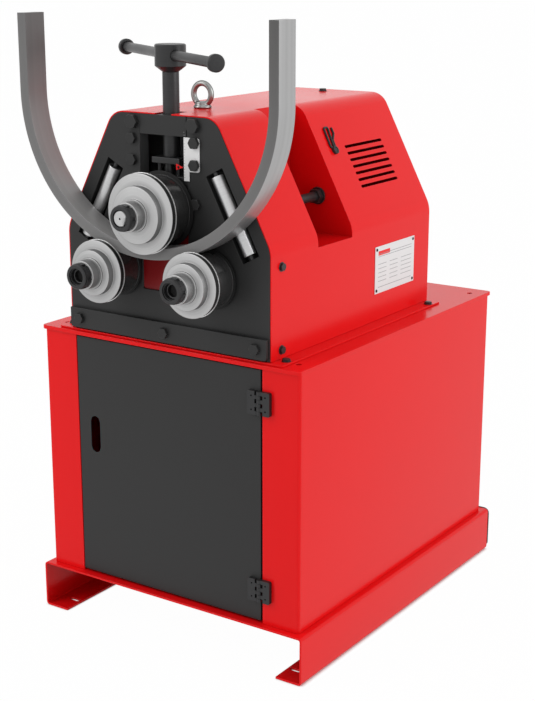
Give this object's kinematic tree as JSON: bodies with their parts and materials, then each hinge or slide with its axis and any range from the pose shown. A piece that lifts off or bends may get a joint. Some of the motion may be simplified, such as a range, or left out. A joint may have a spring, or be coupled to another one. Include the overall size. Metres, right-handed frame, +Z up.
{
  "type": "section bending machine",
  "caption": "Floor-standing section bending machine: three flanged rolls on a plated housing over a cabinet, with a T-handle screw, guide rollers, a door and a bent flat bar in the rolls.",
  "frame": {"origin": "on the floor, under the middle of the machine's bounding box", "axes": "+Z up, rolls and door facing -Y, door hinges on the +X side"},
  "size_m": [0.625, 0.8776, 1.188],
  "materials": {
    "red_paint": "satin red paint",
    "black_paint": "satin black paint",
    "turned_steel": "turned steel",
    "dark_steel": "blackened steel",
    "bar_steel": "drawn flat bar",
    "bright_chrome": "polished",
    "cast_iron": "machined casting",
    "blank_plate": "pale satin sheet"
  },
  "bodies": {
    "frame": {"base_tray": "red_paint", "base_rear_panel": "black_paint", "cabinet_shell": "red_paint", "cabinet_top_plate": "red_paint", "housing_flange": "red_paint", "front_plate": "black_paint", "top_block": "black_paint", "bottom_strip": "black_paint", "inner_guard": "red_paint", "scale_plate": "blank_plate", "rear_plate": "cast_iron", "hood": "red_paint", "pocket_rod": "dark_steel", "side_label": "blank_plate", "tool_clip": "black_paint", "eye_bolt": "turned_steel", "left_block_bolt": "dark_steel", "right_block_bolt": "dark_steel", "left_front_bearing": "turned_steel", "right_front_bearing": "turned_steel", "left_rear_bearing": "turned_steel", "right_rear_bearing": "turned_steel", "left_guide_pin": "dark_steel", "right_guide_pin": "dark_steel", "gearbox": "cast_iron", "motor": "cast_iron", "upper_hinge_frame_leaf": "dark_steel", "lower_hinge_frame_leaf": "dark_steel", "upper_hinge_pin": "dark_steel", "lower_hinge_pin": "dark_steel"},
    "door": {"door": "black_paint", "upper_hinge_door_leaf": "dark_steel", "lower_hinge_door_leaf": "dark_steel"},
    "carriage": {"carriage": "dark_steel", "upper_bush": "turned_steel", "pointer": "red_paint"},
    "screw": {"screw": "dark_steel", "handle_hub": "dark_steel"},
    "handle": {"handle_rod": "turned_steel", "front_knob": "dark_steel", "back_knob": "dark_steel"},
    "upper_roll": {"upper_roll_face": "turned_steel", "upper_roll_drum": "dark_steel", "upper_roll_nut": "dark_steel", "upper_roll_shaft": "turned_steel"},
    "left_roll": {"left_roll_face": "turned_steel", "left_roll_drum": "dark_steel", "left_roll_nut": "dark_steel", "left_roll_shaft": "turned_steel", "left_gear": "cast_iron"},
    "right_roll": {"right_roll_face": "turned_steel", "right_roll_drum": "dark_steel", "right_roll_nut": "dark_steel", "right_roll_shaft": "turned_steel", "right_gear": "cast_iron"},
    "pinion": {"drive_pinion": "cast_iron"},
    "fan": {"motor_fan": "black_paint"},
    "left_guide": {"left_guide_roller": "bright_chrome"},
    "right_guide": {"right_guide_roller": "bright_chrome"},
    "workpiece": {"bent_bar": "bar_steel"}
  },
  "joints": [
    {"name": "door_swing", "type": "hinge", "parent": "frame", "child": "door", "pos_m": [0.2134, -0.3254, 0.35], "axis": [0, 0, 1], "range_deg": [0, 115]},
    {"name": "carriage_slide", "type": "slide", "parent": "frame", "child": "carriage", "axis": [0, 0, 1], "range_m": [0, 0.036]},
    {"name": "screw_turn", "type": "hinge", "parent": "carriage", "child": "screw", "pos_m": [0, -0.2887, 1], "axis": [0, 0, 1], "range_deg": [0, 3240]},
    {"name": "handle_slide", "type": "slide", "parent": "screw", "child": "handle", "axis": [0.8387, -0.5446, 0], "range_m": [-0.1895, 0.2225]},
    {"name": "upper_roll_spin", "type": "hinge", "parent": "carriage", "child": "upper_roll", "pos_m": [0, -0.314, 0.8484], "axis": [0, 1, 0], "continuous": true},
    {"name": "left_roll_spin", "type": "hinge", "parent": "frame", "child": "left_roll", "pos_m": [-0.1058, -0.314, 0.7325], "axis": [0, 1, 0], "continuous": true},
    {"name": "right_roll_spin", "type": "hinge", "parent": "frame", "child": "right_roll", "pos_m": [0.1058, -0.314, 0.7325], "axis": [0, 1, 0], "continuous": true},
    {"name": "pinion_spin", "type": "hinge", "parent": "frame", "child": "pinion", "pos_m": [0, -0.254, 0.70228], "axis": [0, 1, 0], "continuous": true},
    {"name": "fan_spin", "type": "hinge", "parent": "frame", "child": "fan", "pos_m": [0, 0.156, 0.70228], "axis": [0, 1, 0], "continuous": true},
    {"name": "left_guide_spin", "type": "hinge", "parent": "frame", "child": "left_guide", "pos_m": [-0.1503, -0.3085, 0.8494], "axis": [0.4695, 0, 0.8829], "continuous": true},
    {"name": "right_guide_spin", "type": "hinge", "parent": "frame", "child": "right_guide", "pos_m": [0.1503, -0.3085, 0.8494], "axis": [-0.4695, 0, 0.8829], "continuous": true},
    {"name": "bar_feed", "type": "hinge", "parent": "frame", "child": "workpiece", "pos_m": [0, -0.3465, 1.051], "axis": [0, 1, 0], "range_deg": [-60, 60]}
  ],
  "couplings": [
    {"joint": "carriage_slide", "follows": "screw_turn", "m_per_rad": 0.00063662},
    {"joint": "right_roll_spin", "follows": "left_roll_spin", "ratio": 1},
    {"joint": "pinion_spin", "follows": "left_roll_spin", "ratio": -2.1429},
    {"joint": "fan_spin", "follows": "left_roll_spin", "ratio": -8.5714}
  ]
}
